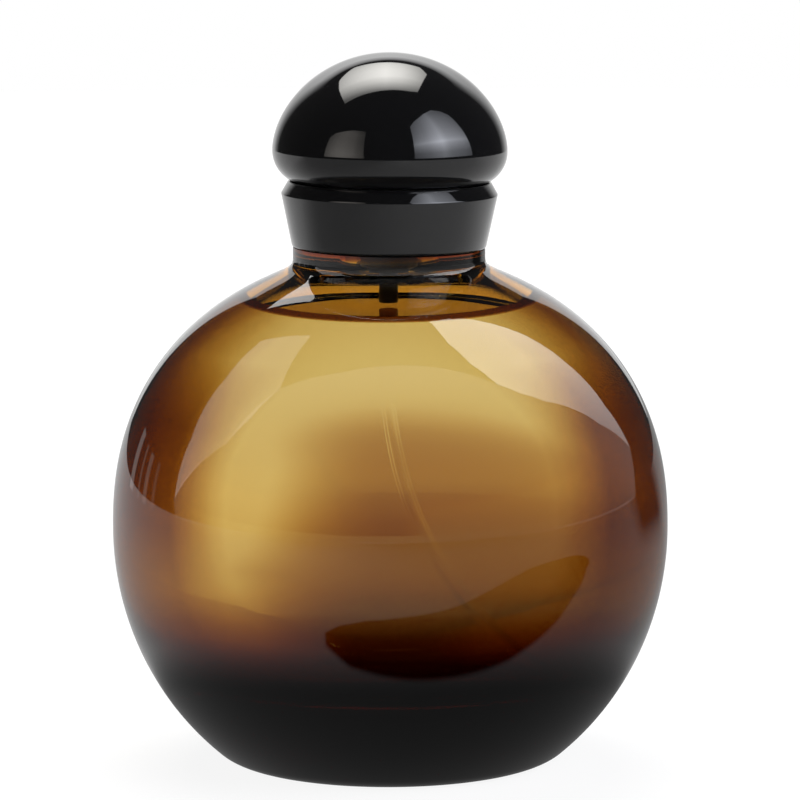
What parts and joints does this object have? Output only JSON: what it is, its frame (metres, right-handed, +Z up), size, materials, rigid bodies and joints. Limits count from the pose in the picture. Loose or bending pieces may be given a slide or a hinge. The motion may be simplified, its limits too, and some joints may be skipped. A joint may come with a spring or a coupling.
{
  "type": "aftershave spray bottle",
  "caption": "Round amber glass aftershave bottle with a crimped spray pump under a flared gloss-black collar and a domed overcap.",
  "frame": {"origin": "centre of the base, on the surface that the bottle stands on", "axes": "+Z up along the globe's axis, -Y towards the front that the spray nozzle faces, +X to the right; the neck's finish leans 0.8 degrees towards +X"},
  "size_m": [0.076, 0.076, 0.0969],
  "materials": {
    "amber_glass": "gloss",
    "aftershave_liquid": "gloss",
    "gasket_rubber": "matte",
    "ferrule_aluminium": "satin",
    "natural_polypropylene": "satin",
    "dip_tube_polyethylene": "satin",
    "stainless_steel": "polished",
    "piston_polyethylene": "satin",
    "liner_polypropylene": "satin",
    "gloss_black_plastic": "gloss",
    "satin_black_plastic": "satin"
  },
  "bodies": {
    "bottle": {"glass_bottle": "amber_glass", "liquid_fill": "aftershave_liquid", "neck_gasket": "gasket_rubber", "crimp_ferrule": "ferrule_aluminium", "pump_housing": "natural_polypropylene", "dip_tube": "dip_tube_polyethylene", "return_spring": "stainless_steel", "stem_gasket": "gasket_rubber", "stem_guide": "natural_polypropylene", "collar_sleeve": "liner_polypropylene", "collar_shell": "gloss_black_plastic"},
    "plunger": {"pump_stem": "natural_polypropylene", "piston": "piston_polyethylene"},
    "actuator": {"actuator_button": "satin_black_plastic", "nozzle_insert": "satin_black_plastic"},
    "inlet_valve": {"valve_ball": "stainless_steel"},
    "cap": {"cap_shell": "gloss_black_plastic", "cap_liner": "liner_polypropylene"}
  },
  "joints": [
    {"name": "cap_pull_off", "type": "slide", "parent": "bottle", "child": "cap", "axis": [0.014, 0, 0.9999], "range_m": [0, 0.03]},
    {"name": "pump_stroke", "type": "slide", "parent": "bottle", "child": "plunger", "axis": [0.014, 0, 0.9999], "range_m": [-0.0036, 0], "stiffness_N_per_m": 1500, "springref_m": 0.004, "deforming": ["return_spring"]},
    {"name": "actuator_turn", "type": "hinge", "parent": "plunger", "child": "actuator", "pos_m": [0, 0, 0.07045], "axis": [0.014, 0, 0.9999], "continuous": true},
    {"name": "valve_lift", "type": "slide", "parent": "bottle", "child": "inlet_valve", "axis": [0.014, 0, 0.9999], "range_m": [0, 0.0008]}
  ]
}
